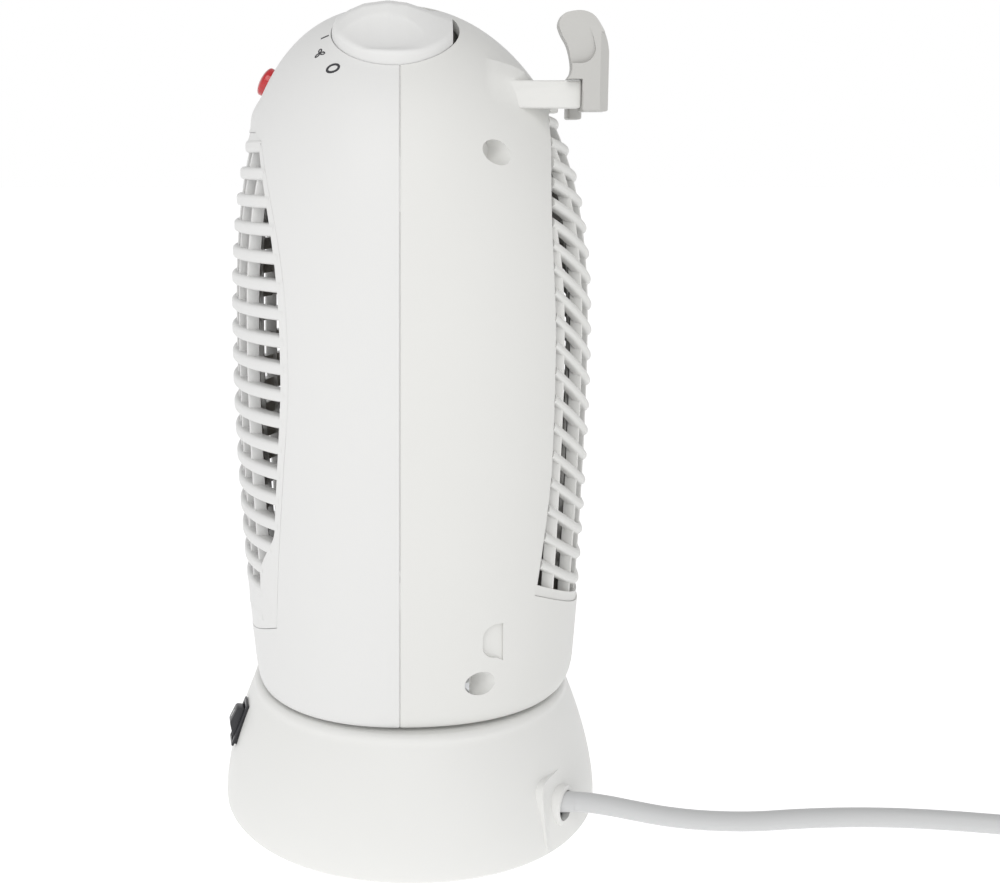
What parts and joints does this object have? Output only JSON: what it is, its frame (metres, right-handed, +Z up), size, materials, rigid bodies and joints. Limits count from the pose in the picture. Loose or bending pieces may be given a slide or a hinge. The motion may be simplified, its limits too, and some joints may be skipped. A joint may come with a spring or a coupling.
{
  "type": "oscillating ceramic space heater",
  "caption": "Free-standing oscillating ceramic fan heater: barrel housing with barred grilles, domed top with knobs, carry handle, bell-shaped swivel base, rocker switch and mains cord.",
  "frame": {"origin": "on the floor, under the swivel axis at the centre of the base", "axes": "+Z up, -Y is the front where warm air leaves, +X is the side where the mode knob and the cord are"},
  "size_m": [0.169, 0.4823, 0.3047],
  "materials": {
    "white_plastic": "satin moulded, fine texture",
    "warm_plastic": "satin moulded, fine texture",
    "cord_pvc": "soft PVC sheath",
    "plug_plastic": "satin",
    "brass": "polished",
    "steel": "zinc plated",
    "black_plastic": "satin",
    "natural_plastic": "natural nylon",
    "duct_plastic": "heat-resistant",
    "element": "finned aluminium on ceramic bars",
    "rubber": "matte",
    "red_lens": "translucent red"
  },
  "bodies": {
    "base": {"base_shell": "white_plastic", "base_plate": "white_plastic", "base_screw_1": "steel", "base_screw_2": "steel", "base_screw_3": "steel", "base_screw_4": "steel", "rubber_foot_1": "rubber", "rubber_foot_2": "rubber", "rubber_foot_3": "rubber", "rubber_foot_4": "rubber", "rocker_bezel": "black_plastic", "swivel_washer": "natural_plastic", "drive_motor": "steel", "drive_bracket": "natural_plastic", "strain_relief": "white_plastic", "inner_lead": "cord_pvc", "cord_clamp": "natural_plastic", "power_cord": "cord_pvc", "cord_coil": "cord_pvc", "plug_body": "plug_plastic", "plug_pin_1": "brass", "plug_pin_2": "brass", "plug_pin_3": "brass"},
    "housing": {"front_shell": "white_plastic", "rear_shell": "warm_plastic", "front_grille": "white_plastic", "rear_grille": "warm_plastic", "handle_grip": "warm_plastic", "grip_screw_1": "steel", "grip_screw_2": "steel", "housing_screw_1": "steel", "housing_screw_2": "steel", "housing_screw_3": "steel", "housing_screw_4": "steel", "mode_switch": "black_plastic", "thermostat": "natural_plastic", "control_bracket": "steel", "indicator_lens": "red_lens", "lamp_holder": "black_plastic", "air_duct": "duct_plastic", "fan_shroud": "duct_plastic", "fan_motor": "steel", "motor_mount": "steel", "element_frame": "duct_plastic", "heating_element": "element", "thermal_cutout": "steel", "turntable": "natural_plastic", "retaining_ring": "steel", "slotted_arm": "natural_plastic"},
    "impeller": {"impeller": "black_plastic"},
    "mode_knob": {"mode_knob": "white_plastic", "mode_spindle": "natural_plastic"},
    "thermostat_knob": {"thermostat_knob": "white_plastic", "thermostat_spindle": "natural_plastic"},
    "rocker": {"rocker": "black_plastic"},
    "crank": {"crank_disc": "natural_plastic"}
  },
  "joints": [
    {"name": "oscillation", "type": "hinge", "parent": "base", "child": "housing", "pos_m": [0, 0, 0.05], "axis": [0, 0, 1], "range_deg": [-35, 35]},
    {"name": "fan_spin", "type": "hinge", "parent": "housing", "child": "impeller", "pos_m": [0, 0.029, 0.165], "axis": [0, 1, 0], "continuous": true},
    {"name": "mode_turn", "type": "hinge", "parent": "housing", "child": "mode_knob", "pos_m": [0.0278, -0.0057, 0.2899], "axis": [0.4147, 0, 0.91], "range_deg": [-60, 30]},
    {"name": "thermostat_turn", "type": "hinge", "parent": "housing", "child": "thermostat_knob", "pos_m": [-0.0278, -0.0057, 0.2899], "axis": [-0.4147, 0, 0.91], "range_deg": [-135, 135]},
    {"name": "rocker_tilt", "type": "hinge", "parent": "base", "child": "rocker", "pos_m": [0.016, -0.06617, 0.0316], "axis": [0.9863, 0.165, 0], "range_deg": [-20, 0]},
    {"name": "crank_turn", "type": "hinge", "parent": "base", "child": "crank", "pos_m": [0, 0.03, 0.028], "axis": [0, 0, 1], "continuous": true}
  ]
}
